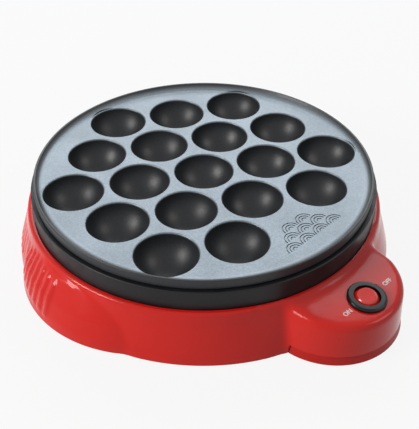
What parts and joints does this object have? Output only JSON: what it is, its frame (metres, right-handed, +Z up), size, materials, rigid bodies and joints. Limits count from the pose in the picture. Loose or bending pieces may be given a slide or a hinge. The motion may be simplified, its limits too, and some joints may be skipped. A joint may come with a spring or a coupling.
{
  "type": "takoyaki maker",
  "caption": "Round electric countertop grill with hemispherical cups in a coated plate, a flared base with side grips, and a rocker switch on a front lobe.",
  "frame": {"origin": "middle of the box round the whole object, on the surface that it stands on", "axes": "+Z up, the switch lobe towards -Y, the cord bushing towards +Y"},
  "size_m": [0.261, 0.2791, 0.0534],
  "materials": {
    "red_gloss": "high gloss moulded",
    "red_gloss_dark": "gloss moulded",
    "foot_rubber": "matte",
    "black_phenolic": "satin moulded",
    "coated_aluminium": "dark non-stick coating",
    "heater_steel": "heat-darkened sheath",
    "ceramic_white": "unglazed",
    "zinc_steel": "zinc plated",
    "screw_steel": "zinc plated",
    "bright_tin": "bright pressed sheet",
    "fuse_sleeve": "glass-fibre braid",
    "lead_insulation": "silicone",
    "silicone_white": "silicone",
    "switch_black": "satin moulded nylon",
    "rocker_red": "translucent moulded",
    "plunger_nylon": "natural",
    "contact_brass": "stamped",
    "neon_glass": "clear",
    "bushing_black": "matte"
  },
  "bodies": {
    "cooker": {"base_shell": "red_gloss", "bottom_cover": "red_gloss_dark", "feet": "foot_rubber", "collar_ring": "black_phenolic", "grill_plate": "coated_aluminium", "heater_element": "heater_steel", "heater_seals": "ceramic_white", "heater_clamps": "zinc_steel", "clamp_screws": "screw_steel", "reflector_dish": "bright_tin", "spacer_sleeves": "zinc_steel", "plate_screws": "screw_steel", "thermostat": "ceramic_white", "thermostat_bracket": "zinc_steel", "bracket_screws": "screw_steel", "thermal_fuse": "fuse_sleeve", "fuse_clip": "zinc_steel", "terminal_block": "ceramic_white", "lead_heater": "lead_insulation", "lead_fuse": "lead_insulation", "lead_link": "lead_insulation", "lead_load": "lead_insulation", "lead_switch": "lead_insulation", "lead_lamp": "lead_insulation", "wire_grommets": "silicone_white", "switch_housing": "switch_black", "switch_terminals": "contact_brass", "cord_bushing": "bushing_black", "collar_screws": "screw_steel", "cover_screws": "screw_steel"},
    "rocker": {"switch_rocker": "rocker_red", "rocker_plunger": "plunger_nylon", "plunger_spring": "screw_steel", "neon_lamp": "neon_glass"},
    "contact": {"contact_arm": "contact_brass"}
  },
  "joints": [
    {"name": "rocker_tilt", "type": "hinge", "parent": "cooker", "child": "rocker", "pos_m": [0, -0.12073, 0.02731], "axis": [0, 0.9962, 0.0872], "range_deg": [0, 24]},
    {"name": "contact_tip", "type": "hinge", "parent": "cooker", "child": "contact", "pos_m": [0, -0.12, 0.01899], "axis": [0, 0.9962, 0.0872], "range_deg": [-14, 0]}
  ],
  "couplings": [
    {"joint": "contact_tip", "follows": "rocker_tilt", "ratio": -0.58333}
  ]
}
